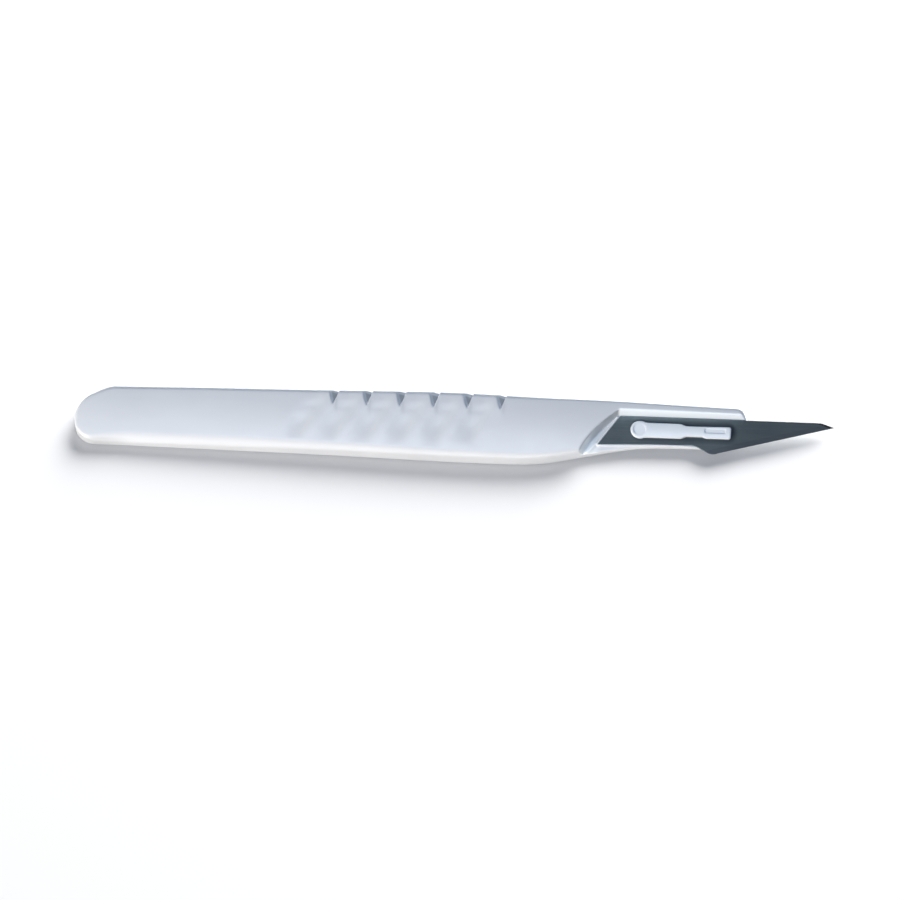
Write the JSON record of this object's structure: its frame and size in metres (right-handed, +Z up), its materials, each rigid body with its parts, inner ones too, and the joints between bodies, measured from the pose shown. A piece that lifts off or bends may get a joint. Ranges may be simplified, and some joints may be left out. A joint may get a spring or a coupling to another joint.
{
  "type": "disposable scalpel",
  "caption": "Moulded plastic scalpel handle with slanted finger scoops and a notched back edge, and a pointed steel blade staked on its tongue behind a slanted shoulder.",
  "frame": {"origin": "on the surface that the handle lies on, under the middle of the whole object's box", "axes": "+X from the tail of the handle to the point of the blade, +Y to the back of the blade, +Z up from the flat underside"},
  "size_m": [0.1332, 0.0118, 0.0049],
  "materials": {
    "handle_plastic": "injection-moulded white polystyrene, softly glossy, faint cool tint",
    "blade_steel": "hardened carbon steel strip, blue-grey from heat treatment, fine grinding lines along the cutting edge"
  },
  "bodies": {
    "root": {"handle": "handle_plastic", "blade": "blade_steel"}
  },
  "joints": []
}
